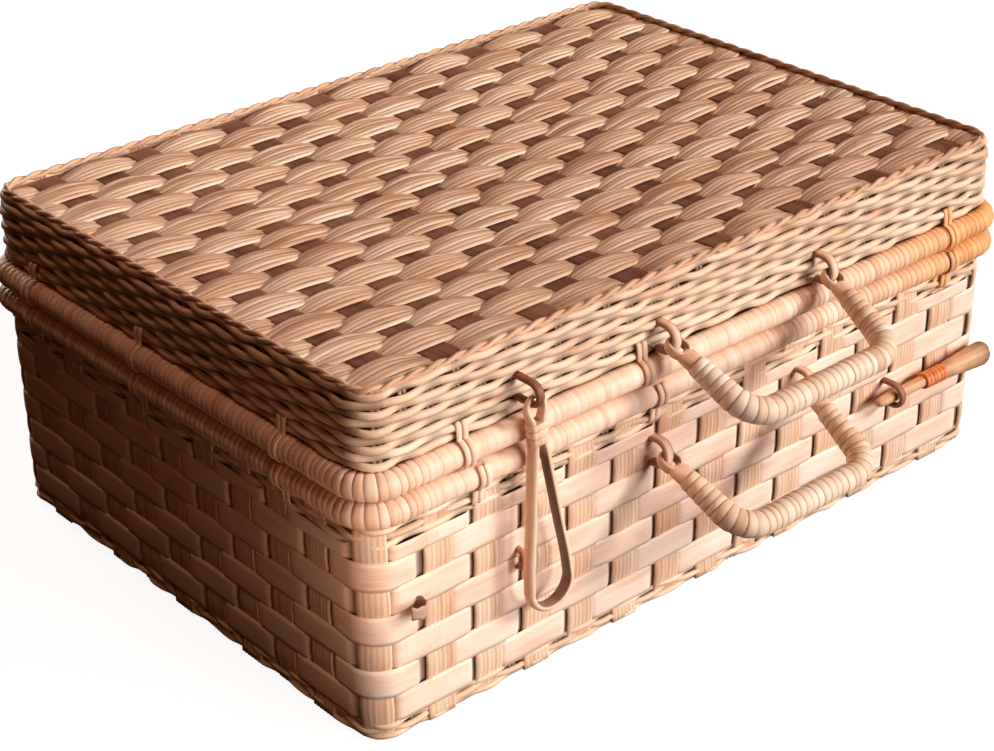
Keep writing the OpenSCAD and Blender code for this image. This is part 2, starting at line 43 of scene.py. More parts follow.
# Sizes of the case in millimetres; a distance "out" is measured from the face of the wall
MM = 0.001
CASE_LENGTH, CASE_WIDTH, CORNER = 446.0, 318.0, 15.0
RUN_X, RUN_Y = CASE_LENGTH - 2 * CORNER, CASE_WIDTH - 2 * CORNER
FRONT_Y = -CASE_WIDTH / 2
ARC = CORNER * math.pi / 2
ROUND = 2 * (RUN_X + RUN_Y) + 4 * ARC

# Weave of the body and of the lid
STAKE_PITCH, END_STAKE_PITCH = 30.5, 29.9
FRONT_HALF_COUNT, END_HALF_COUNT = 6, 4
ROW_PITCH, ROW_COUNT, FOOT, ROWS_TOP = 15.0, 7, 10.0, 107.4
FINE_STAKES = 96
LID_STAKE_PITCH, LID_STAKE_COUNT = 30.0, 14
LID_ROW_PITCH, LID_ROW_COUNT = 15.0, 20
LID_Z, LID_SAG = 185.0, 6.0
LINING_STATIONS = 360

# Rims and ties
BODY_RIM_Z, LID_RIM_Z, RIM_OUT, RIM_BOUND = 126.9, 141.6, 1.0, 6.62
RIM_TURNS = 372
END_TIES = (-100.0, 19.0, 119.0)
LID_TIES, BODY_TIES = (-168, -53, 181), (-159, -43, 183)

# Handles: the span between the loops, and the middle of the handle on the front
UPPER_SPAN, UPPER_X, UPPER_Z = 115.0, 17.0, 158.0
LOWER_SPAN, LOWER_X, LOWER_Z = 107.0, 10.0, 95.0
HANDLE_OUT, HANDLE_REACH, HANDLE_BEND, BARE_END = 6.0, 59.0, 16.0, 20.0
GRIP_RADIUS, LEG_RADIUS, WRAP_PITCH = 6.2, 4.8, 4.4
LEG_SLANT, HANDLE_TURN = math.radians(6), math.radians(205)
LOOP_BOW, LOOP_HALF = 7.0, 3.3

# Hasp, staple and peg
HASP_X, HASP_Z, HASP_OUT, HASP_LEAN = -133.0, 162.0, 12.4, math.radians(5)
HASP_LOOP_Z, HASP_LOOP_OUT, HASP_LOOP_BOW, HASP_LOOP_HALF = 163.5, 11.2, 5.6, 2.5
COLLAR_TOP, COLLAR_LENGTH, COLLAR_TURNS = -13.0, 12.0, 3
STAPLE_X, STAPLE_Z, STAPLE_OUT, STAPLE_BOW, STAPLE_HALF = 137.0, 62.0, 9.5, 6.2, 2.4
PEG_X, PEG_OUT, PEG_Z = 123.0, 9.5, 61.4
PEG_COLLAR_X, PEG_COLLAR_LENGTH, PEG_TURNS = 161.2, 17.6, 6

# Broken splint end on the front, near the left corner
TORN_X, TORN_Z, TORN_ROW, TORN_STATIONS = -202.0, 71.0, 4, 26

# Camera fitted to the photograph, in pixels, degrees and metres
PHOTO_WIDTH, FOCAL_PIXELS, SENSOR = 994, 2208.2, 36.0
CAMERA_TURN, CAMERA_RISE, CAMERA_ROLL = -40.94, 28.30, -0.716
CAMERA_AT = (-0.72768, -0.83113, 0.65168)

RIGHT, BACK, UP = np.eye(3)


# Meshes from swept strands
class Strands:
    """Collects swept strands into one mesh, with a tone, a share of painted shade and stain, and a grain
    place at each point.
    """

    def __init__(self, name):
        self.name = name
        self.points, self.quads, self.caps = [], [], []
        self.tone, self.deep, self.grain = [], [], []
        self.count = 0

    def grid(self, pts, grain, tone, deep, loop=False):
        """Adds a tube of stations by section points, which closes on itself or gets two caps."""
        n, m = pts.shape[:2]
        index = np.arange(n * m).reshape(n, m) + self.count
        i, k = np.meshgrid(np.arange(n if loop else n - 1), np.arange(m), indexing="ij")
        i2, k2 = (i + 1) % n, (k + 1) % m
        corners = [index[i, k], index[i, k2], index[i2, k2], index[i2, k]]
        self.quads.append(np.stack(corners, -1).reshape(-1, 4))
        if not loop:
            self.caps += [index[0, ::-1].tolist(), index[-1].tolist()]
        self.points.append(pts.reshape(-1, 3))
        self.grain.append(grain.reshape(-1, 3))
        for layer, value in ((self.tone, tone), (self.deep, deep)):
            value = np.asarray(value, float)
            value = value[:, None] if value.ndim == 1 else value
            layer.append(np.broadcast_to(value, (n, m)).reshape(-1))
        self.count += n * m

    def sweep(self, centre, a, b, section, tone=0.0, deep=0.0, loop=False, along=None):
        """Sweeps a section, given in the directions a and b whose cross product runs along the strand."""
        sec = np.broadcast_to(section, (len(centre),) + np.shape(section)[-2:])
        a, b = np.broadcast_to(a, centre.shape), np.broadcast_to(b, centre.shape)
        pts = centre[:, None] + sec[..., :1] * a[:, None] + sec[..., 1:] * b[:, None]
        if along is None:
            step = np.linalg.norm(np.diff(centre, axis=0), axis=1)
            along = np.concatenate([[0], np.cumsum(step)])
        grain = np.concatenate([np.broadcast_to(along[:, None, None], sec.shape[:2] + (1,)), sec], -1)
        shift = rng.uniform(0, 4000, 3)
        self.grid(pts, grain + shift, tone, deep, loop)

    def make(self, material, body, slot, *nodes):
        mesh = bpy.data.meshes.new(self.name)
        quads = np.concatenate(self.quads).tolist() + self.caps
        mesh.from_pydata((np.concatenate(self.points) * MM).tolist(), [], quads)
        mesh.polygons.foreach_set("use_smooth", np.ones(len(mesh.polygons), bool))
        for name, parts in (("tone", self.tone), ("deep", self.deep)):
            layer = mesh.attributes.new(name, "FLOAT", "POINT")
            layer.data.foreach_set("value", np.concatenate(parts).astype(np.float32))
        layer = mesh.attributes.new("grain", "FLOAT_VECTOR", "POINT")
        layer.data.foreach_set("vector", (np.concatenate(self.grain) * MM).astype(np.float32).ravel())
        mesh.materials.append(material)
        mesh.update()
        piece = bpy.data.objects.new(self.name, mesh)
        bpy.context.scene.collection.objects.link(piece)
        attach(piece, body)
        if nodes:
            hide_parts(*nodes)
        return piece


def unit(rows):
    return rows / np.linalg.norm(rows, axis=1)[:, None]


def tangents(centre):
    return unit(np.gradient(centre, axis=0))


def circle(count):
    t = np.arange(count) * 2 * math.pi / count
    return np.stack([np.cos(t), np.sin(t)], 1)


def oval(ra, rb, count):
    return circle(count) * np.array([ra, rb])


def strip(width, thick, crown, count=6):
    """Section of a flat splint: a across, b outwards, with a crowned outer face and thin edges."""
    a = np.linspace(-width / 2, width / 2, count)
    t = 2 * a / width
    inner = np.stack([a, -thick / 2 + 0.25 * thick * t ** 4], 1)
    outer = np.stack([a, thick / 2 - 0.25 * thick * t ** 4 + crown * (1 - t ** 2)], 1)
    return np.concatenate([inner, outer[::-1]])


def squared(points, power):
    """Points of a circle pushed towards a rounded square."""
    return np.sign(points) * np.abs(points) ** power


def wave(s, size, length, seeds=3):
    """Slow irregular drift along a strand."""
    out = np.zeros_like(s, float)
    for k in range(seeds):
        out += np.sin(2 * math.pi * s / (length * rng.uniform(0.6, 1.6)) + rng.uniform(0, 6.3)) / seeds
    return out * size


def loop_wave(s, size, top=9):
    """Slow irregular drift that closes round the case."""
    out = np.zeros_like(s, float)
    for k in range(2, top):
        out += np.sin(2 * math.pi * k * s / ROUND + rng.uniform(0, 6.3)) * rng.uniform(0.3, 1) / top
    return out * size


def flat_top(c, k=2.4):
    return np.tanh(k * c) / math.tanh(k)


def across_of(normals):
    """Level directions along the wall at given outward normals."""
    return np.stack([-normals[..., 1], normals[..., 0], np.zeros(normals.shape[:-1])], -1)


def perimeter(s):
    """Points of the wall face and outward normals at arc lengths s, which start at the left of the front."""
    s = np.mod(s, ROUND)
    p, n = np.zeros(s.shape + (3,)), np.zeros(s.shape + (3,))
    start = 0.0
    for k in range(4):
        angle = math.radians(90 * k - 90)
        run, off = (RUN_X, CASE_WIDTH / 2) if k % 2 == 0 else (RUN_Y, CASE_LENGTH / 2)
        out = np.array([math.cos(angle), math.sin(angle), 0])
        way = np.array([-math.sin(angle), math.cos(angle), 0])
        d = s - start
        flat, bend = (d >= 0) & (d < run), (d >= run) & (d < run + ARC)
        p[flat] = out * off + (d[flat, None] - run / 2) * way
        n[flat] = out
        turn = angle + (d[bend] - run) / CORNER
        n[bend] = np.stack([np.cos(turn), np.sin(turn), np.zeros_like(turn)], 1)
        p[bend] = out * (off - CORNER) + way * run / 2 + CORNER * n[bend]
        start += run + ARC
    return p, n


def stake_places():
    """Arc lengths of the stakes of the body, in order round the case."""
    places, start = [], 0.0
    sides = ((RUN_X, STAKE_PITCH, FRONT_HALF_COUNT), (RUN_Y, END_STAKE_PITCH, END_HALF_COUNT))
    for k in range(4):
        run, pitch, half = sides[k % 2]
        places += [start + run / 2 + i * pitch for i in range(-half, half + 1)]
        places.append(start + run + ARC / 2)
        start += run + ARC
    return np.array(places)


STAKES = stake_places()


def stake_phase(s):
    """Stake number at arc length s, with fractions between the stakes."""
    ring = np.concatenate([[STAKES[-1] - ROUND], STAKES, [STAKES[0] + ROUND]])
    return np.interp(np.mod(s, ROUND), ring, np.arange(-1, len(STAKES) + 1))


def stations_round(count):
    return np.linspace(0, ROUND, count, endpoint=False)


def round_wall(bag, s, z, out, section, tone=0.0, deep=0.0):
    """A closed strand round the case, with the section's first direction upwards and its second outwards."""
    p, n = perimeter(s)
    centre = p + n * np.asarray(out)[:, None]
    centre[:, 2] = z
    bag.sweep(centre, UP, n, section, tone, deep, True, s)


def lining(bag, z, out, section, tone, deep=0.0):
    """A plain strand behind a row of reeds, where the floor would show through."""
    s = stations_round(LINING_STATIONS)
    round_wall(bag, s, np.full_like(s, z), np.full_like(s, out), section, tone, deep)


def flat_lining(bag, z, out, tall):
    """A lining set on edge: a sheet of painted shade behind the gaps, darkest on the outside."""
    edge_points = 4
    # Painted shade: nearly full on the outside, light on the inside.
    deep = np.repeat([0.3, 0.95], edge_points) * np.ones((LINING_STATIONS, 1))
    lining(bag, z, out, strip(tall, 0.8, 0.0, edge_points), -0.3, deep)


# Materials
class Nodes:
    """Short ways to add and link the nodes of one tree."""

    def __init__(self, tree):
        self.tree = tree

    def put(self, value, socket):
        """Gives a socket a constant, or links it to the output of another node."""
        if isinstance(value, bpy.types.NodeSocket):
            self.tree.links.new(value, socket)
        else:
            socket.default_value = value

    def add(self, kind, **values):
        node = self.tree.nodes.new(kind)
        for key, value in values.items():
            if hasattr(node, key):
                setattr(node, key, value)
            else:
                self.put(value, node.inputs[key])
        return node

    def math(self, operation, first, second):
        node = self.add("ShaderNodeMath", operation=operation)
        self.put(first, node.inputs[0])
        self.put(second, node.inputs[1])
        return node.outputs[0]

    def mix(self, share, first, second, blend="MIX"):
        node = self.add("ShaderNodeMix", data_type="RGBA", blend_type=blend)
        for index, value in ((0, share), (6, first), (7, second)):
            self.put(value, node.inputs[index])
        return node.outputs[2]

    def map_range(self, value, start=(0.0, 1.0), end=(0.0, 1.0), kind="LINEAR"):
        node = self.add("ShaderNodeMapRange", interpolation_type=kind)
        for name, level in zip(("From Min", "From Max", "To Min", "To Max"), start + end):
            node.inputs[name].default_value = level
        self.put(value, node.inputs["Value"])
        return node.outputs[0]

    def noise(self, place, scale, detail):
        mapping = self.add("ShaderNodeMapping", Scale=scale, Vector=place)
        texture = self.add("ShaderNodeTexNoise", Scale=1.0, Detail=detail, Roughness=0.55,
                           Vector=mapping.outputs["Vector"])
        return texture.outputs["Fac"]

    def attribute(self, name, output):
        return self.add("ShaderNodeAttribute", attribute_name=name).outputs[output]

    def object_place(self):
        return self.add("ShaderNodeTexCoord").outputs["Object"]


def srgb(r, g, b):
    """Linear colour of a written one, from 0 to 255."""
    shares = [c / 255 for c in (r, g, b)]
    return tuple(c / 12.92 if c <= 0.04 else ((c + 0.055) / 1.055) ** 2.4 for c in shares) + (1.0,)


def cane_colour(nodes, ramp_value, dark, mid, light):
    ramp = nodes.add("ShaderNodeValToRGB")
    first, last = ramp.color_ramp.elements
    first.position, first.color = 0.28, dark
    last.position, last.color = 0.74, light
    ramp.color_ramp.elements.new(0.5).color = mid
    nodes.put(ramp_value, ramp.inputs["Fac"])
    return ramp.outputs["Color"]


def rattan(name, dark, mid, light, streak=0.9, bump=0.3, spread=0.5, stain_and_shade_colour=None, tint=None, strands=True):
    """Cane or splint: lengthwise fibres, slow changes of tone, stains, and painted shade in hollows and where
    strands pass behind others.

    A tint is a colour with the two places along X between which it comes in. Without strands the piece is a
    CAD solid, which has no tone, painted shade or grain of its own.
    """
    mat = bpy.data.materials.new(name)
    mat.use_nodes = True
    nodes = Nodes(mat.node_tree)
    shader = mat.node_tree.nodes["Principled BSDF"]
    place = nodes.attribute("grain", "Vector") if strands else nodes.object_place()

    fibres = nodes.noise(place, (35, 1500, 1500), 3)
    threads = nodes.noise(place, (18, 520, 520), 2)
    drift = nodes.noise(place, (22, 90, 90), 2)
    blotch = nodes.noise(place, (70, 160, 160), 3)

    fine = nodes.math("MULTIPLY", fibres, 0.30 * streak)
    value = nodes.math("ADD", fine, nodes.math("MULTIPLY", threads, 0.34 * streak))
    value = nodes.math("ADD", value, nodes.math("MULTIPLY", drift, 1.0 - 0.64 * streak))
    if strands:
        tone = nodes.attribute("tone", "Fac")
        value = nodes.math("ADD", value, nodes.math("MULTIPLY", tone, 0.16 * spread))
    colour = cane_colour(nodes, value, dark, mid, light)
    if tint:
        hue, low, high = tint
        split = nodes.add("ShaderNodeSeparateXYZ", Vector=nodes.object_place())
        reach = nodes.map_range(split.outputs["X"], (low * MM, high * MM))
        share = nodes.math("MULTIPLY", reach, nodes.math("ADD", drift, 0.25))
        colour = nodes.mix(share, colour, hue, "MULTIPLY")
    # One dark colour serves for real stains and for painted shade.
    stain_and_shade_colour = stain_and_shade_colour or tuple(c * 0.45 for c in dark[:3]) + (1.0,)
    stains = nodes.map_range(blotch, (0.62, 0.78))
    colour = nodes.mix(nodes.math("MULTIPLY", stains, 0.12), colour, stain_and_shade_colour)
    if strands:
        # Painted shade: hollows, grooves and the parts behind other strands darken towards the dark colour;
        # on the peg the same mix gives the wood's darker end.
        deep = nodes.attribute("deep", "Fac")
        colour = nodes.mix(nodes.math("MULTIPLY", deep, 0.75), colour, stain_and_shade_colour)
    nodes.put(colour, shader.inputs["Base Color"])
    nodes.put(nodes.map_range(drift, end=(0.42, 0.62)), shader.inputs["Roughness"])
    shader.inputs["Specular IOR Level"].default_value = 0.35

    height = nodes.math("ADD", nodes.math("MULTIPLY", fibres, 0.4), nodes.math("MULTIPLY", threads, 0.6))
    relief = nodes.add("ShaderNodeBump", Strength=bump, Distance=0.0006, Height=height)
    nodes.put(relief.outputs["Normal"], shader.inputs["Normal"])
    return mat


# Colour of the painted shade in the slits of the weave, also the colour of stains on splints and fine reeds.
SLIT_SHADE_AND_STAIN = srgb(56, 28, 18)
SPLINT = rattan("splint_cane", srgb(230, 182, 150), srgb(252, 219, 194), srgb(255, 240, 224), 0.75, 0.25,
                stain_and_shade_colour=SLIT_SHADE_AND_STAIN)
REED = rattan("reed_stakes", srgb(206, 150, 112), srgb(246, 204, 168), srgb(254, 230, 202),
              stain_and_shade_colour=srgb(110, 66, 42))
FINE = rattan("fine_reeds", srgb(206, 156, 118), srgb(242, 208, 174), srgb(254, 234, 208), 0.8,
              stain_and_shade_colour=SLIT_SHADE_AND_STAIN)
LID = rattan("lid_strands", srgb(176, 130, 98), srgb(222, 182, 146), srgb(246, 220, 190), 1.0, 0.4, 0.8,
             stain_and_shade_colour=srgb(84, 50, 34))
LID_STAKE = rattan("lid_stakes", srgb(96, 60, 42), srgb(146, 102, 76), srgb(176, 132, 102), bump=0.4)
RIM = rattan("rim_cane", srgb(214, 158, 120), srgb(246, 206, 174), srgb(255, 234, 212), 0.7, 0.25,
             stain_and_shade_colour=srgb(120, 74, 48), tint=(srgb(255, 205, 124), 90, 190))
WRAP = rattan("handle_cane", srgb(206, 158, 118), srgb(245, 212, 180), srgb(255, 240, 222), 0.7, 0.25,
              stain_and_shade_colour=srgb(100, 60, 38))
BORDER = rattan("border_cane", srgb(144, 98, 72), srgb(208, 162, 126), srgb(240, 202, 166))
ROD = rattan("rod_bare", srgb(182, 120, 84), srgb(226, 172, 132), srgb(244, 204, 168), 0.8, strands=False)
DARK = rattan("dark_cane", srgb(84, 46, 34), srgb(150, 94, 68), srgb(206, 150, 114))
STRAP = rattan("strap_cane", srgb(166, 110, 80), srgb(240, 194, 160), srgb(254, 226, 198))
LOOP = rattan("loop_cane", srgb(120, 72, 46), srgb(186, 128, 88), srgb(236, 192, 150), strands=False)
HASP = rattan("hasp_cane", srgb(184, 124, 92), srgb(250, 204, 170), srgb(255, 232, 206),
              stain_and_shade_colour=srgb(66, 30, 20))
STAPLE = rattan("staple_cane", srgb(104, 58, 38), srgb(178, 114, 78), srgb(226, 170, 126), strands=False)
PEG = rattan("peg_wood", srgb(96, 54, 32), srgb(220, 166, 122), srgb(250, 210, 170), 1.0, 0.5)
ORANGE = rattan("orange_cane", srgb(190, 92, 46), srgb(238, 142, 88), srgb(254, 190, 136), 0.6)
BASE = rattan("base_splint", srgb(150, 100, 64), srgb(196, 146, 104), srgb(222, 178, 136), 0.8)


# The body
def body_rows():
    """Flat splints over and under the stakes, taller where they pass behind to close the wall."""
    bag = Strands("body_splints")
    across, torn_place, torn_half = 7, 11, 5
    between = np.array([0, 0.15, 0.2, 0.225, 0.25, 0.275, 0.3, 0.36,
                        0.5, 0.57, 0.61, 0.635, 0.66, 0.685, 0.72, 0.84])
    ring = np.append(STAKES, STAKES[0] + ROUND)
    s = (ring[:-1, None] + np.diff(ring)[:, None] * between).ravel()
    for j in range(ROW_COUNT):
        low = FOOT + ROW_PITCH * j
        high = min(low + ROW_PITCH, ROWS_TOP)
        c = np.cos(math.pi * (stake_phase(s + 1.4) + j))
        level = np.tanh(9 * (c + 0.56))
        out = -0.55 + 1.35 * level + loop_wave(s, 0.3)
        z = (low + high) / 2 + loop_wave(s, 0.5) + loop_wave(s, 2.5, 60)
        tall = high - low + 0.7 + 1.2 * (1 - level)
        tone = rng.uniform(-0.6, 0.6) + loop_wave(s, 1.4, 24)
        section = strip(1.0, 1.1, 0.16, across) * np.stack([tall, np.ones_like(tall)], 1)[:, None]
        # Painted shade on the outer face where each splint passes behind a stake, and in the hole at the torn
        # place.
        torn = 0.9 * np.exp(-((s - torn_place) / torn_half) ** 2) if j == TORN_ROW else 0
        deep = np.clip(0.1 - 0.95 * level + torn, 0, 1)[:, None] * np.repeat([0.0, 1.0], across)
        round_wall(bag, s, z, out, section, tone, deep)
    return bag.make(SPLINT, "case_body", "splint", "body_basket")


def body_stakes():
    """Upright bands of fine reeds side by side, and the linings at the foot and under the rim."""
    bag = Strands("body_stakes")
    z = np.arange(1.0, 119.5, 3.2)
    reeds, half_width, half_thick, groove = 13, 8.0, 0.75, 0.13
    b = np.linspace(-half_width, half_width, reeds)
    ridge = groove * np.cos(np.arange(reeds) * math.pi)
    one = np.ones((len(z), 1))
    for k, place in enumerate(STAKES):
        p, n = perimeter(place + b)
        way = across_of(n)
        c = np.cos(math.pi * ((z - FOOT - ROW_PITCH / 2) / ROW_PITCH + k))
        drift = wave(z, 0.4, 90)
        tone = rng.uniform(-0.8, 0.8) + np.repeat(rng.uniform(-0.9, 0.9, 7), 2)[:reeds]
        around = np.concatenate([p[::-1] - n[::-1] * half_thick, p + n * (half_thick + ridge)[:, None]])
        normal, side = np.concatenate([n[::-1], n]), np.concatenate([way[::-1], way])
        out = -0.25 - 0.75 * c
        pts = around + normal * out[:, None, None] + side * drift[:, None, None]
        pts[..., 2] = z[:, None]
        across = np.concatenate([b[::-1], b]) * one
        grain = np.stack([z[:, None] * np.ones(2 * reeds), across, np.zeros_like(across)], -1)
        grain += rng.uniform(0, 4000, 3)
        tones = np.concatenate([tone[::-1], tone]) * one
        # Painted shade in the grooves between the reeds and where the stake passes behind a splint.
        hollows = 0.45 * np.concatenate([np.zeros(reeds), np.clip(-ridge / groove, 0, 1)])
        deep = np.maximum(hollows * one, 0.3 * np.clip(c, 0, 1)[:, None])
        bag.grid(pts, grain, tones, deep)
    flat_lining(bag, 118.0, -2.6, 6.0)
    flat_lining(bag, 8.2, -3.3, 13.6)
    return bag.make(REED, "case_body", "reed")


def fine_rows(name, heights, radius, reach, body, slot, node, amp=0.8, top_tuck=0.0, lined=None):
    """Rows of fine reeds that pass in and out between thin stakes, with painted shade where they pass behind
    and reeds behind them painted dark as shade.
    """
    bag = Strands(name)
    s = stations_round(FINE_STAKES * 5)
    shift = STAKES[0] / ROUND * FINE_STAKES
    for j, z0 in enumerate(heights):
        c = np.cos(math.pi * (s / ROUND * FINE_STAKES - shift + j))
        swing = amp * (1 + loop_wave(s, 5.0, 60))
        out = reach - radius - amp + swing * flat_top(c, 1.3) + loop_wave(s, 0.15)
        out = out - (top_tuck if j == len(heights) - 1 else 0)
        z = z0 + loop_wave(s, 0.35) + loop_wave(s, 5.5, 90) - 0.12 * c
        r = radius * rng.uniform(0.95, 1.05)
        z = np.maximum(z, r + 0.1)
        tone = rng.uniform(-0.9, 0.9) + loop_wave(s, 1.2, 30)
        # Painted shade where a reed passes behind the stakes.
        round_wall(bag, s, z, out, oval(r, r * 0.92, 7), tone, 0.7 * np.clip(-c, 0, 1))
        if j:
            rear = slice(None, None, 3)
            behind = np.full(len(s[rear]), reach - 2 * radius - amp - 1.1)
            section = oval(radius, 0.9, 6)
            # Painted shade on the outer side of the reeds behind, in the gaps between the rows.
            deep = np.where(section[:, 1] > -0.3, 1.0, 0.0) * np.ones((len(behind), 1))
            round_wall(bag, s[rear], z[rear] - (z0 - heights[j - 1]) / 2, behind, section, -0.5, deep)
    if lined:
        flat_lining(bag, *lined)
    low, high = heights[0] - radius, heights[-1] + radius
    z = np.arange(low, high + 0.1, max(1.0, (high - low) / 16))
    for k in range(FINE_STAKES):
        p, n = perimeter(np.array([(k + shift) * ROUND / FINE_STAKES]))
        way = across_of(n[0])
        for side in (-1.3, 1.3):
            centre = p[0] + n[0] * (reach - 2 * radius - amp * 0.6) + way * side + UP * z[:, None]
            # Thin stakes, darker in tone and painted with shade, behind the reeds.
            bag.sweep(centre, n[0], way, oval(0.9, 1.25, 5), rng.uniform(-1, 0.0), 0.7)
    return bag.make(FINE, body, slot, node)


# Bound rods
def turn_steps(count, wander=0.12):
    """Places along a binding in turns, the rise of the cane there, and the turn that each belongs to."""
    edges = np.arange(count + 1) + np.concatenate([[0], rng.uniform(-wander, wander, count - 1), [0]])
    within = np.array([0.0, 0.05, 0.16, 0.36, 0.62, 0.84, 0.95])
    rise = np.array([-0.55, -0.1, 0.55, 0.95, 1.0, 0.6, -0.05])
    q = (edges[:-1, None] + np.diff(edges)[:, None] * within).ravel()
    return q, np.tile(rise, count), np.repeat(np.arange(count), len(within))


def bound_rim(name, z0, body, slot, node):
    """Cane bound round a rim rod, with flatter turns and a painted highlight on the left half of the front.
    """
    bag = Strands(name)
    q, rise, turn = turn_steps(RIM_TURNS)
    place = q * ROUND / RIM_TURNS
    # Where strong light washes out the front, the turns are made flatter and painted paler and more even.
    glare = np.clip((place - 6) / 25, 0, 1) * np.clip((80 + RUN_X / 2 - place) / 70, 0, 1)
    rise = rise * (1 - 0.88 * glare)
    angles = np.radians(np.linspace(118, -118, 15))
    one = np.ones_like(angles)
    lift = rng.uniform(-0.08, 0.1, RIM_TURNS)[turn]
    slope = 0.45
    s = (q[:, None] - slope * angles / (2 * math.pi)) * ROUND / RIM_TURNS
    p, n = perimeter(s)
    r = RIM_BOUND + lift[:, None] + 0.30 * rise[:, None] * one + 0.05 * np.sin(3 * angles + turn[:, None])
    out = RIM_OUT + r * np.cos(angles) + loop_wave(place, 0.35)[:, None]
    pts = p + n * out[..., None]
    pts[..., 2] = z0 + r * np.sin(angles) + loop_wave(place, 0.4)[:, None]
    # Painted highlight: paler, more even tone on the washed-out part of the front.
    tone = (rng.uniform(-1, 1, RIM_TURNS)[turn] * (1 - 0.8 * glare) + 0.5 * glare)[:, None] * one
    # Painted shade in the grooves between the turns.
    deep = np.clip(-rise * 1.6, 0, 1)[:, None] * one
    grain = np.stack([r * angles + turn[:, None] * 37.0, s, np.zeros_like(s)], -1)
    bag.grid(pts, grain, tone, deep, True)
    return bag.make(RIM, body, slot, node)


def rim_ties(name, z0, up, places, body, slot, node):
    """Two flat canes over the rim, tucked into the wall above or below it."""
    bag = Strands(name)
    radius, half_gap = 7.6, 1.85
    top = math.acos((2.2 - RIM_OUT) / 7.15)
    angles = np.linspace(-math.radians(58), top, 14)
    over = np.stack([RIM_OUT + radius * np.cos(angles), up * radius * np.sin(angles)], 1)
    tail_out = np.array([2.4, 2.2, 1.8, 0.7])
    tail_rise = radius * math.sin(top) + np.array([2.5, 5.0, 7.5, 9.0])
    path = np.concatenate([over, np.stack([tail_out, up * tail_rise], 1)])
    for place in places:
        for side in (-1, 1):
            p, n = perimeter(np.array([place + side * half_gap]))
            centre = p[0] + n[0] * path[:, :1] + UP * path[:, 1:]
            centre[:, 2] += z0
            a = -up * across_of(n[0])
            b = np.cross(tangents(centre), a)
            bag.sweep(centre, a, b, strip(3.3, 0.7, 0.25, 5), rng.uniform(-0.5, 1), 0.0)
    return bag.make(RIM, body, slot, node)


def handle_line(span):
    """Centreline of a handle in its own plane from the bare end of one leg to the other, with its radius."""
    bend, sine, cosine = HANDLE_BEND, math.sin(LEG_SLANT), math.cos(LEG_SLANT)
    leg = (HANDLE_REACH - bend * (1 - sine)) / cosine
    d = np.linspace(BARE_END, leg, 60)
    swell = (GRIP_RADIUS - LEG_RADIUS) * (d - BARE_END) / (leg - BARE_END)
    straight = np.stack([span / 2 - d * sine, d * cosine, LEG_RADIUS + swell], 1)
    x, y = span / 2 - leg * sine - bend * cosine, leg * cosine - bend * sine
    t = np.linspace(LEG_SLANT, math.pi / 2, 50)[1:]
    corner = np.stack([x + bend * np.cos(t), y + bend * np.sin(t), np.full_like(t, GRIP_RADIUS)], 1)
    bar_x = np.linspace(corner[-1, 0], 0, 40)[1:]
    bar = np.stack([bar_x, np.full_like(bar_x, HANDLE_REACH), np.full_like(bar_x, GRIP_RADIUS)], 1)
    half = np.concatenate([straight, corner, bar])
    return np.concatenate([half, half[-2::-1] * np.array([-1, 1, 1])])


def handle_frame(x, z):
    """Turn and place of a hanging handle's own plane."""
    c, s = math.cos(HANDLE_TURN), math.sin(HANDLE_TURN)
    rot = np.array([[1, 0, 0], [0, c, -s], [0, s, c]])
    return rot, np.array([x, FRONT_Y - HANDLE_OUT, z])


def bound_handle(name, span, x, z, body, slot, node, pale=0.0):
    """Cane bound round a handle, with a painted highlight that makes it paler towards one end."""
    bag = Strands(name)
    line = handle_line(span)
    run = np.concatenate([[0], np.cumsum(np.linalg.norm(np.diff(line[:, :2], axis=0), axis=1))])
    length = run[-1]
    count = int(length / WRAP_PITCH)
    q, rise, turn = turn_steps(count, 0.14)
    angles = -np.arange(20) * 2 * math.pi / 20
    one = np.ones_like(angles)
    slope = 0.35
    d = np.clip((q[:, None] - slope * np.cos(angles + 0.7) * 0.5) * length / count, 0, length)
    cx, cy, cr = (np.interp(d, run, line[:, i]) for i in range(3))
    tx, ty = (np.interp(d, run, np.gradient(line[:, i], run)) for i in range(2))
    norm = np.hypot(tx, ty)
    lift = rng.uniform(-0.07, 0.12, count)[turn]
    r = cr + 0.5 + 0.27 * rise[:, None] + lift[:, None]
    local = np.stack([cx + r * np.cos(angles) * ty / norm, cy - r * np.cos(angles) * tx / norm,
                      r * np.sin(angles)], -1)
    rot, at = handle_frame(x, z)
    tone = rng.uniform(-1, 1, count)[turn][:, None] * one
    # Painted highlight: paler along the left leg towards its end.
    tone = tone + pale * np.clip((d - length * 0.62) / (length * 0.2), 0, 1)
    # Painted shade in the grooves between the turns.
    deep = np.clip(0.1 - rise * 1.8, 0, 1)[:, None] * one
    grain = np.stack([r * angles + turn[:, None] * 37.0, d, np.zeros_like(d)], -1)
    bag.grid(local @ rot.T + at, grain, tone, deep)
    return bag.make(WRAP, body, slot, node)


# The lid and the base
def lid_sag(x, y):
    """Drop of the slack lid at a point of its plan."""
    return LID_SAG * np.clip(1 - (x / 216) ** 2, 0, 1) * np.clip(1 - (y / 152) ** 2, 0, 1)


def lid_phase(place, pitch, half_count, number):
    """Wave of a strand over and under the strands that cross it."""
    return np.cos(math.pi * (place / pitch + half_count + number))


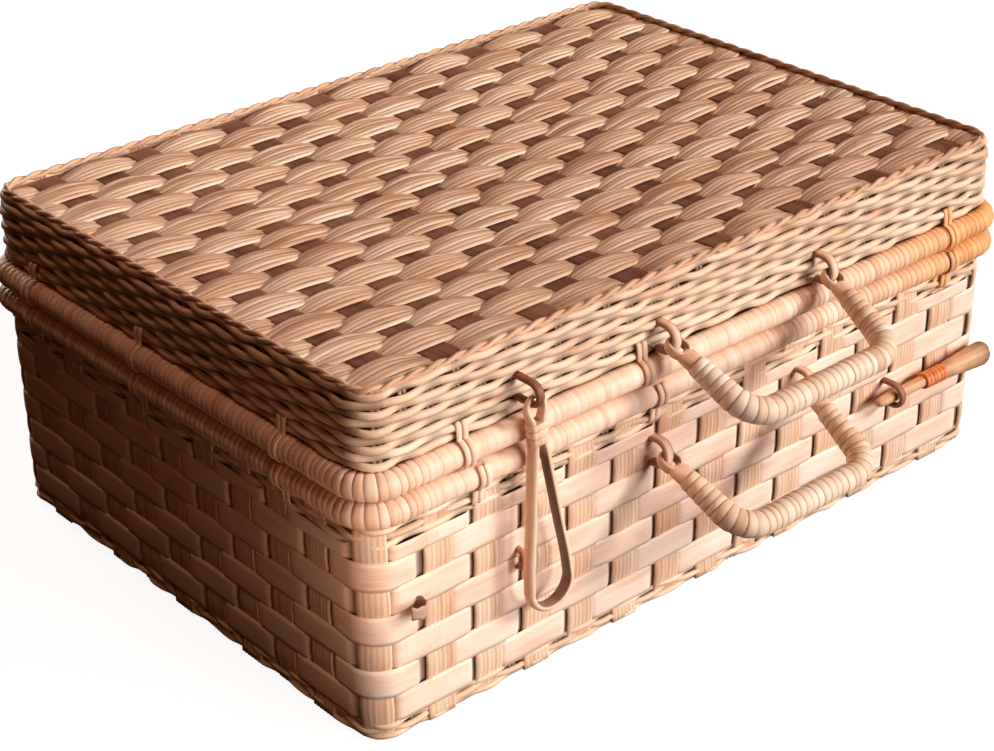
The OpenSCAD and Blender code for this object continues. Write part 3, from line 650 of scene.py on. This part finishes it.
def lid_rows():
    """Rows of six strands that gather under each stake and fan out over the next."""
    bag = Strands("lid_strands")
    half_count = (LID_STAKE_COUNT - 1) / 2
    strand_count, turn_under = 6, 0.74
    x = np.linspace(-219.5, 219.5, 97)
    edge = np.clip((np.abs(x) - 208) / 11.5, 0, 1) ** 2
    stake = np.clip(np.rint(x / LID_STAKE_PITCH + half_count), 0, LID_STAKE_COUNT - 1).astype(int)
    for j in range(LID_ROW_COUNT):
        row_y = (j - (LID_ROW_COUNT - 1) / 2) * LID_ROW_PITCH
        c = lid_phase(x, LID_STAKE_PITCH, half_count, j)
        over = np.clip((c + turn_under) / (1 + turn_under), 0, 1) * (1 - edge)
        under = np.clip((-turn_under - c) / (1 - turn_under), 0, 1) * (1 - edge)
        wide = rng.uniform(0.9, 1.1, LID_STAKE_COUNT)[stake]
        high = rng.uniform(0.82, 1.1, LID_STAKE_COUNT)[stake]
        slip = rng.uniform(-0.7, 0.7, LID_STAKE_COUNT)[stake] * over
        # Painted shade where the strands pass under a stake and dip beside it.
        hollow = 0.8 * under + 0.25 * (1 - over) ** 2 * (under == 0)
        for i in range(strand_count):
            t = 2 * i / (strand_count - 1) - 1
            front = 1.0 if i == 0 else 0.0
            half = 4.6 + 3.7 * over ** 0.6 * wide + wave(x, 0.3, 80)
            y = row_y + t * half + wave(x, 0.35, 55) + slip - 0.5 * over * front
            rise = 3.4 * over ** 0.75 * high * (1 - 0.2 * t * t) - 2.2 * under ** 0.7
            z = LID_Z + 0.1 + rise + wave(x, 0.25, 60) + 1.0 * edge - lid_sag(x, y)
            centre = np.stack([x, y, z], 1)
            way = tangents(centre)
            a = unit(np.cross(UP, way))
            # Painted highlight: the front strand of each float, on its lit front edge, is paler.
            tone = rng.uniform(-1.1, 1.1) + wave(x, 0.9, 70) + 0.9 * front
            bag.sweep(centre, a, np.cross(way, a), oval(1.85, 0.9, 8), tone, hollow)
    return bag.make(LID, "case_lid", "lid_weave", "lid_panel")


def lid_stakes():
    """Flat ribbed stakes of the lid, and the lining under its border."""
    bag = Strands("lid_stakes")
    half_count = (LID_ROW_COUNT - 1) / 2
    reeds, half_width, half_thick = 11, 8.2, 0.75
    y = np.linspace(-156.5, 156.5, 90)
    edge = np.clip((np.abs(y) - 149) / 7.5, 0, 1) ** 2
    b = np.linspace(-half_width, half_width, reeds)
    ridge = 0.22 * np.cos(np.arange(reeds) * math.pi)
    lower, upper = np.stack([np.full(reeds, -half_thick), b], 1), np.stack([half_thick + ridge, b], 1)
    section = np.concatenate([lower[::-1], upper])
    for i in range(LID_STAKE_COUNT):
        c = lid_phase(y, LID_ROW_PITCH, half_count, i)
        x = (i - (LID_STAKE_COUNT - 1) / 2) * LID_STAKE_PITCH + wave(y, 0.4, 150)
        z = LID_Z - 0.6 * c + wave(y, 0.1, 60) - 1.0 * edge - lid_sag(x, y)
        bag.sweep(np.stack([x, y, z], 1), UP, RIGHT, section, rng.uniform(-0.8, 0.8), 0.0)
    lining(bag, LID_Z - 0.4, -5.6, oval(0.6, 4.4, 8), -0.4)
    return bag.make(LID_STAKE, "case_lid", "lid_weave")


def lid_border():
    """Two canes twisted round each other along the edge of the lid."""
    bag = Strands("lid_border_cane")
    twists, radius, border_z, border_out = 62, 1.0, 188.3, -3.2
    s = stations_round(620)
    for k in range(2):
        t = 2 * math.pi * s / ROUND * twists + math.pi * k
        tone = rng.uniform(-0.6, 0.6) + loop_wave(s, 1.0, 20)
        z, out = border_z + radius * np.sin(t), border_out + radius * np.cos(t)
        round_wall(bag, s, z, out, oval(1.35, 1.25, 7), tone)
    return bag.make(BORDER, "case_lid", "cane", "lid_border")


def base_weave():
    """Plain plaited mat of the base, and the lining round its edge."""
    bag = Strands("base_weave")
    mat_z, swing, thick = 1.9, 0.6, 0.9
    half_rows, half_stakes = (LID_ROW_COUNT - 1) / 2, (LID_STAKE_COUNT - 1) / 2
    x, y = np.linspace(-217, 217, 65), np.linspace(-153, 153, 49)
    for j in range(LID_ROW_COUNT):
        z = mat_z - swing * flat_top(lid_phase(x, LID_STAKE_PITCH, half_stakes, j))
        centre = np.stack([x, np.full_like(x, (j - half_rows) * LID_ROW_PITCH), z], 1)
        bag.sweep(centre, BACK, UP, strip(15.8, thick, 0.0, 5), rng.uniform(-0.8, 0.8), 0.0)
    for i in range(LID_STAKE_COUNT):
        z = mat_z + swing * flat_top(lid_phase(y, LID_ROW_PITCH, half_rows, i))
        centre = np.stack([np.full_like(y, (i - half_stakes) * LID_STAKE_PITCH), y, z], 1)
        bag.sweep(centre, -RIGHT, UP, strip(20, thick, 0.0, 6), rng.uniform(-0.8, 0.8), 0.0)
    lining(bag, mat_z + 0.1, -5.2, oval(0.5, 3.8, 8), 0.2)
    return bag.make(BASE, "case_body", "splint", "base_panel")


# Hasp, loops, handle ends, peg and torn splint
def smooth_loop(points):
    """Four points to each stretch of a closed curve through the given points."""
    fine = []
    for k in range(len(points)):
        p0, p1, p2, p3 = (points[(k + d) % len(points)] for d in (-1, 0, 1, 2))
        for t in (0.0, 0.25, 0.5, 0.75):
            square = (2 * p0 - 5 * p1 + 4 * p2 - p3) * t ** 2
            cube = (3 * p1 - p0 - 3 * p2 + p3) * t ** 3
            fine.append(0.5 * (2 * p1 + (p2 - p0) * t + square + cube))
    return np.array(fine)


def hasp_outline():
    """Hairpin in its own plane from the fold at the top: right side, rounded end, left side."""
    end_z, end_radius = -106.4, 12.2
    half = [(0.0, 0.2), (2.0, -0.1), (3.8, -1.4), (4.8, -3.6), (4.7, -6.0), (3.7, -9.5), (2.7, -12.5),
            (2.3, -16.0), (2.3, -25.0), (3.1, -30.0), (5.6, -50.0), (8.7, -75.0), (11.2, -93.0)]
    half += [(end_radius * math.cos(t), end_z + end_radius * math.sin(t))
             for t in np.linspace(0.2, -math.pi / 2, 12)]
    return smooth_loop(np.array(half + [(-x, z) for x, z in half[-2:0:-1]]))


def hasp_frame():
    """Sideways and upward directions of the leaning hasp, and its pivot."""
    c, s = math.cos(HASP_LEAN), math.sin(HASP_LEAN)
    return np.array([c, 0, s]), np.array([-s, 0, c]), np.array([HASP_X, FRONT_Y - HASP_OUT, HASP_Z])


def hasp_cane():
    """Half-round cane bent to a hairpin, thinner at the fold, with its flat side inwards and painted with
    shade below the collar.
    """
    bag = Strands("hasp_cane")
    side, up, at = hasp_frame()
    line = hasp_outline()
    drop = -line[:, 1]
    way = unit(np.roll(line, -1, 0) - np.roll(line, 1, 0))
    way = way[:, :1] * side + way[:, 1:] * up
    thick = np.interp(drop, [0, 6, 12, 26, 40, 140], [1.3, 2.0, 2.2, 2.3, 2.5, 2.5])
    depth = np.interp(drop, [0, 1.5, 6, 11, 30, 140], [1.3, 1.5, 2.4, 2.9, 3.6, 3.6])
    shape = circle(14)
    flat = np.where(shape[:, 0] < 0, 0.45, 1.0)
    section = np.stack([shape[:, 0] * flat * thick[:, None], squared(shape[:, 1], 0.75) * depth[:, None]], -1)
    along = np.arange(len(line)) * 3.0
    tone = 0.3 + wave(along, 0.8, 60)
    tone[0] = tone[-1]
    # Painted shade on the flat inner face below the collar.
    hollow = np.where(shape[:, 0] < -0.4, 1.0, 0.0) * np.clip((drop[:, None] - 24) / 10, 0, 1)
    centre = at + line[:, :1] * side + line[:, 1:] * up
    bag.sweep(centre, np.cross(-BACK, way), -BACK, section, tone, hollow, True, along)
    return bag.make(HASP, "hasp_strap", "dark_cane", "hasp")


def hasp_binding():
    """Three turns of cane round the neck of the hasp."""
    bag = Strands("hasp_binding")
    side, up, at = hasp_frame()
    within = np.array([0, 0.08, 0.3, 0.7, 0.92])
    turns = np.append((np.arange(COLLAR_TURNS)[:, None] + within).ravel(), COLLAR_TURNS)
    z = COLLAR_TOP - COLLAR_LENGTH * turns / COLLAR_TURNS
    lift = np.append(np.tile([-0.3, 0.1, 0.3, 0.3, 0.1], COLLAR_TURNS), -0.3)
    shape = squared(circle(20), 0.55)
    section = shape * np.array([5.0, 3.5]) + 0.7 * shape * lift[:, None, None]
    tone = np.repeat(rng.uniform(-0.6, 0.8, COLLAR_TURNS + 1), len(within))[:len(z)]
    # Painted shade in the grooves between the turns.
    bag.sweep(at + z[:, None] * up, side, -BACK, section, tone, np.clip(-lift * 2, 0, 1))
    return bag.make(HASP, "hasp_strap", "cane", "hasp_collar")


def wall_straps(name, places, reach, bow, half, body, slot, node, pale=False):
    """Flat cane bent out of the wall to a bow and back in, painted with shade inside; a pale one is pale cane
    painted with shade all round but its crown.
    """
    bag = Strands(name)
    t = np.linspace(math.pi / 2, -math.pi / 2, 19)
    arc = [(reach + bow * math.cos(v), bow * math.sin(v)) for v in t]
    path = np.array([(-2.5, bow), (reach * 0.4, bow)] + arc + [(reach * 0.4, -bow), (-2.5, -bow)])
    along = np.arange(len(path)) * 2.0
    section = oval(half, 1.5, 10)
    # Painted shade on the inner side; a pale strap gets it everywhere but the crown.
    deep = np.where(section[:, 1] < (1.2 if pale else -0.5), 0.95, 0.0) * np.ones((len(path), 1))
    for x, z in places:
        centre = np.stack([x + wave(along, 0.25, 30), FRONT_Y - path[:, 0], z + path[:, 1]], 1)
        b = np.cross(tangents(centre), RIGHT)
        tone = rng.uniform(-0.2, 0.6) + wave(along, 0.5, 30)
        bag.sweep(centre, RIGHT, b, section, tone, deep)
    return bag.make(STRAP if pale else DARK, body, slot, node)


def handle_ends(name, span, x, z, body, slot, node):
    """Bare ends of a handle: the rod flattens to a neck with an eye for its loop."""
    bag = Strands(name)
    rot, at = handle_frame(x, z)
    t = np.linspace(0, math.pi, 11)
    far = np.stack([4.75 * np.cos(t), 8.5 + 4.9 * np.sin(t)], 1)
    t = np.linspace(math.pi, 2 * math.pi, 13)
    eye = np.concatenate([far, np.stack([4.75 * np.cos(t), 6.9 + 4.7 * np.sin(t)], 1)])
    eye_section = oval(2.9, 1.35, 10)
    neck = np.array([11.6, 12.6, 14.0, 16.0, 18.5, 21.0, 23.5])
    wide = np.array([4.4, 5.6, 6.0, 5.8, 5.4, 5.1, 4.9])
    high = np.array([2.4, 2.9, 3.3, 3.9, 4.4, 4.7, 4.8])
    neck_section = circle(16) * np.stack([wide, high], 1)[:, None]
    for sign in (1, -1):
        way = np.array([-sign * math.sin(LEG_SLANT), math.cos(LEG_SLANT), 0])
        side = np.array([math.cos(LEG_SLANT), sign * math.sin(LEG_SLANT), 0])
        start = np.array([sign * span / 2, 0, 0])
        pts = start + eye[:, :1] * side + eye[:, 1:] * way
        out = np.cross(unit(np.roll(pts, -1, 0) - np.roll(pts, 1, 0)), UP)
        facing = np.sign(np.mean(np.sum(out * (pts - pts.mean(0)), 1)))
        # Painted shade on the inner side of the eye.
        deep = np.where(eye_section[:, 1] * facing < -0.4, 0.9, 0.0) * np.ones((len(pts), 1))
        along = np.arange(len(pts)) * 1.5
        bag.sweep(pts @ rot.T + at, UP @ rot.T, out @ rot.T, eye_section, 0.3, deep, True, along)
        centre = start + neck[:, None] * way
        tone = np.linspace(0.6, -0.3, len(neck))
        bag.sweep(centre @ rot.T + at, side @ rot.T, np.cross(way, side) @ rot.T, neck_section, tone, 0.0)
    return bag.make(STRAP, body, slot, node)


def peg_line(x):
    """Points of the peg's axis at the places x."""
    return np.stack([x, np.full_like(x, FRONT_Y - PEG_OUT), np.full_like(x, PEG_Z)], 1)


def peg_wood():
    """Whittled peg, stouter at its free end, with the end grain dark."""
    bag = Strands("peg_wood")
    d = np.array([0, 0.6, 2, 5, 9, 16, 26, 38, 50, 56, 59, 64, 70, 77, 84, 89, 91.4, 92, 91.8, 91.9])
    r = np.array([1.2, 2.0, 2.6, 3.0, 3.2, 3.3, 3.3, 3.25, 3.2, 3.6,
                  4.6, 5.2, 5.6, 6.1, 6.6, 6.8, 6.3, 5.2, 3.0, 0.6])
    t = np.arange(22) * 2 * math.pi / 22
    facets = 0.035 * np.sin(3 * t + 0.02 * d[:, None]) + 0.03 * np.sin(7 * t + 1.0 + 0.05 * d[:, None])
    section = circle(22) * (r[:, None] * (1 + facets))[..., None]
    tone = wave(d, 0.5, 40)
    bag.sweep(peg_line(PEG_X + d), BACK, UP, section, tone, np.interp(d, [76, 87, 91], [0.0, 0.55, 0.95]))
    return bag.make(PEG, "peg", "rod", "locking_peg")


def peg_binding():
    """Turns of orange cane round the peg."""
    bag = Strands("peg_binding")
    q, rise, turn = turn_steps(PEG_TURNS, 0.08)
    q, rise = np.append(q, PEG_TURNS), np.append(rise, -0.55)
    section = circle(20) * (4.45 + 0.35 * rise)[:, None, None]
    tone = np.append(rng.uniform(-1, 1, PEG_TURNS)[turn], 0)
    centre = peg_line(PEG_COLLAR_X + PEG_COLLAR_LENGTH * q / PEG_TURNS)
    # Painted shade in the grooves between the turns.
    bag.sweep(centre, BACK, UP, section, tone, np.clip(-rise, 0, 1))
    return bag.make(ORANGE, "peg", "orange_cane", "peg_collar")


def loose_end():
    """Broken end of a splint that has come out of the weave and curled, painted with shade, darkest on the
    inside.
    """
    bag = Strands("loose_splint_end")
    across = 5
    t = np.linspace(-0.35, 3.9, TORN_STATIONS)
    r = 5.6 - 0.35 * np.clip(t, 0, 5)
    z = TORN_Z + 0.5 * t + 0.5 * np.sin(2 * t)
    centre = np.stack([TORN_X + 1.35 * r * np.sin(t), FRONT_Y - 5.4 + r * np.cos(t), z], 1)
    out = np.cross(tangents(centre), UP)
    facing = np.sign(np.sum(out * (centre - centre.mean(0))))
    # Painted shade over the whole curl, strongest on the inner face.
    faces = np.repeat([1.0, 0.62] if facing > 0 else [0.62, 1.0], across)
    ragged = np.linspace(1.0, 0.72, TORN_STATIONS) + 0.09 * np.sin(7 * t)
    section = strip(9.0, 0.9, 0.1, across) * ragged[:, None, None]
    bag.sweep(centre, UP, out, section, -1.0, np.linspace(0.8, 1.0, TORN_STATIONS)[:, None] * faces)
    return bag.make(SPLINT, "case_body", "splint")


def tie_places(front):
    """Arc lengths of the ties on the front and on both ends."""
    left = [ROUND - ARC - RUN_Y / 2 - y for y in END_TIES]
    right = [RUN_X + ARC + RUN_Y / 2 + y for y in END_TIES]
    return [RUN_X / 2 + x for x in front] + left + right


def loop_places(span, x, z):
    return [(x - span / 2, z), (x + span / 2, z)]


# All pieces, in the order of their random draws
UPPER, LOWER = (UPPER_SPAN, UPPER_X, UPPER_Z), (LOWER_SPAN, LOWER_X, LOWER_Z)
HANDLE_LOOP = (HANDLE_OUT, LOOP_BOW, LOOP_HALF)
SKIRT_ROWS = [151.1 + 4.35 * k for k in range(8)] + [185.7]

body_rows()
body_stakes()
fine_rows("body_band_reeds", [109.3, 113.2, 117.1], 1.9, 1.9, "case_body", "reed", "body_band")
fine_rows("foot_reeds", [2.0, 5.0, 8.1], 1.65, 1.6, "case_body", "reed", "foot_rows")
fine_rows("lid_skirt_reeds", SKIRT_ROWS, 2.1, 2.0, "case_lid", "reed", "lid_skirt", 0.65,
          top_tuck=1.2, lined=(149.6, -4.6, 5.0))
bound_rim("body_rim_cane", BODY_RIM_Z, "case_body", "cane", "body_rim_binding")
bound_rim("lid_rim_cane", LID_RIM_Z, "case_lid", "cane", "lid_rim_binding")
rim_ties("lid_tie_canes", LID_RIM_Z, 1, tie_places(LID_TIES), "case_lid", "cane", "lid_rim_ties")
rim_ties("body_tie_canes", BODY_RIM_Z, -1, tie_places(BODY_TIES), "case_body", "cane", "body_rim_ties")
bound_handle("upper_handle_cane", *UPPER, "top_handle", "cane", "upper_handle_wrap", pale=1.2)
bound_handle("lower_handle_cane", *LOWER, "front_handle", "cane", "lower_handle_wrap")
lid_rows()
lid_stakes()
lid_border()
base_weave()
hasp_cane()
hasp_binding()
wall_straps("upper_loop_straps", loop_places(*UPPER), *HANDLE_LOOP, "case_lid", "cane", "upper_handle_loops",
            pale=True)
wall_straps("lower_loop_straps", loop_places(*LOWER), *HANDLE_LOOP, "case_body", "cane", "lower_handle_loops",
            pale=True)
wall_straps("hasp_loop_strap", [(HASP_X, HASP_LOOP_Z)], HASP_LOOP_OUT, HASP_LOOP_BOW, HASP_LOOP_HALF,
            "case_lid", "dark_cane", "hasp_loop")
wall_straps("right_staple_strap", [(STAPLE_X, STAPLE_Z)], STAPLE_OUT, STAPLE_BOW, STAPLE_HALF,
            "case_body", "dark_cane", "right_staple")
handle_ends("upper_handle_ends", *UPPER, "top_handle", "rod", "upper_handle")
handle_ends("lower_handle_ends", *LOWER, "front_handle", "rod", "lower_handle")
peg_wood()
peg_binding()
loose_end()

# CAD solids that stay as they are, with a material
for node, material in (("left_staple", STAPLE), ("hinge_loops", LOOP), ("body_rim", ROD), ("lid_rim", ROD)):
    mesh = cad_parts[node].data
    mesh.materials.clear()
    mesh.materials.append(material)


# Stage, light and camera
def link_object(name, data):
    thing = bpy.data.objects.new(name, data)
    bpy.context.scene.collection.objects.link(thing)
    return thing


def studio_world():
    """White to the camera; to the object a faint warm light that grows towards the zenith."""
    world = bpy.data.worlds.new("studio")
    bpy.context.scene.world = world
    world.use_nodes = True
    nodes = Nodes(world.node_tree)
    background = world.node_tree.nodes["Background"]
    path = nodes.add("ShaderNodeLightPath")
    seen = nodes.math("MAXIMUM", path.outputs["Is Camera Ray"], path.outputs["Is Transmission Ray"])
    split = nodes.add("ShaderNodeSeparateXYZ", Vector=nodes.add("ShaderNodeTexCoord").outputs["Generated"])
    level = nodes.map_range(split.outputs["Z"], (0.3, 1.0), (0.002, 0.19), "SMOOTHSTEP")
    nodes.put(nodes.math("MAXIMUM", level, seen), background.inputs["Strength"])
    nodes.put(nodes.mix(seen, (1.0, 0.32, 0.13, 1), (1, 1, 1, 1)), background.inputs["Color"])


def paper_floor():
    """White paper that keeps the shadow for the camera and throws little light back on the object."""
    half, drop = 6, -0.0005
    corners = [(-half, -half, drop), (half, -half, drop), (half, half, drop), (-half, half, drop)]
    floor_mesh = bpy.data.meshes.new("floor")
    floor_mesh.from_pydata(corners, [], [(0, 1, 2, 3)])
    floor = link_object("floor", floor_mesh)
    mat = bpy.data.materials.new("floor_paper")
    mat.use_nodes = True
    nodes = Nodes(mat.node_tree)
    shader = mat.node_tree.nodes["Principled BSDF"]
    seen = nodes.add("ShaderNodeLightPath").outputs["Is Camera Ray"]
    nodes.put(nodes.mix(seen, (0.05, 0.022, 0.01, 1), (0.3, 0.3, 0.3, 1)), shader.inputs["Base Color"])
    nodes.put(nodes.math("MULTIPLY", seen, 0.9), shader.inputs["Emission Strength"])
    shader.inputs["Emission Color"].default_value = (1, 1, 1, 1)
    shader.inputs["Roughness"].default_value = 0.9
    shader.inputs["Specular IOR Level"].default_value = 0.0
    floor_mesh.materials.append(mat)


def view_axes(turn, rise):
    """Right, up and backward directions of a lamp or camera, turned to the right of the front."""
    a, e = math.radians(turn), math.radians(rise)
    back = np.array([math.sin(a) * math.cos(e), -math.cos(a) * math.cos(e), math.sin(e)])
    right = np.array([math.cos(a), math.sin(a), 0.0])
    return right, np.cross(back, right), back


def sun(name, turn, rise, strength, size, colour):
    data = bpy.data.lights.new(name, "SUN")
    data.energy, data.angle, data.color = strength, math.radians(size), colour
    link_object(name, data).matrix_world = Matrix(np.stack(view_axes(turn, rise), 1).tolist()).to_4x4()


def card():
    """Small reflector beside the near left corner."""
    data = bpy.data.lights.new("card", "AREA")
    data.energy, data.size, data.color = 0.03, 0.05, (1.0, 0.66, 0.45)
    lamp = link_object("card", data)
    lamp.location = (-0.275, -0.215, 0.1)
    lamp.visible_camera = False
    lamp.rotation_euler = (Vector((-0.22, -0.14, 0.09)) - lamp.location).to_track_quat("-Z", "Y").to_euler()


def photo_camera():
    data = bpy.data.cameras.new("camera")
    data.sensor_width, data.lens = SENSOR, SENSOR * FOCAL_PIXELS / PHOTO_WIDTH
    data.clip_start, data.clip_end = 0.05, 50
    camera = link_object("camera", data)
    right, up, back = view_axes(CAMERA_TURN, CAMERA_RISE)
    c, s = math.cos(math.radians(CAMERA_ROLL)), math.sin(math.radians(CAMERA_ROLL))
    axes = np.stack([c * right + s * up, c * up - s * right, back, CAMERA_AT], 1)
    camera.matrix_world = Matrix(axes.tolist() + [[0, 0, 0, 1]])
    bpy.context.scene.camera = camera


studio_world()
paper_floor()
sun("key", 42, 25, 2.25, 15, (1.0, 0.97, 0.96))
sun("front", 16, 12, 2.25, 30, (1.0, 0.96, 0.95))
sun("top", -90, 86, 0.4, 8, (1.0, 0.66, 0.46))
sun("behind", 172, 12, 1.0, 14, (1.0, 0.97, 0.94))
card()
photo_camera()
bpy.context.scene.view_settings.view_transform = "Standard"
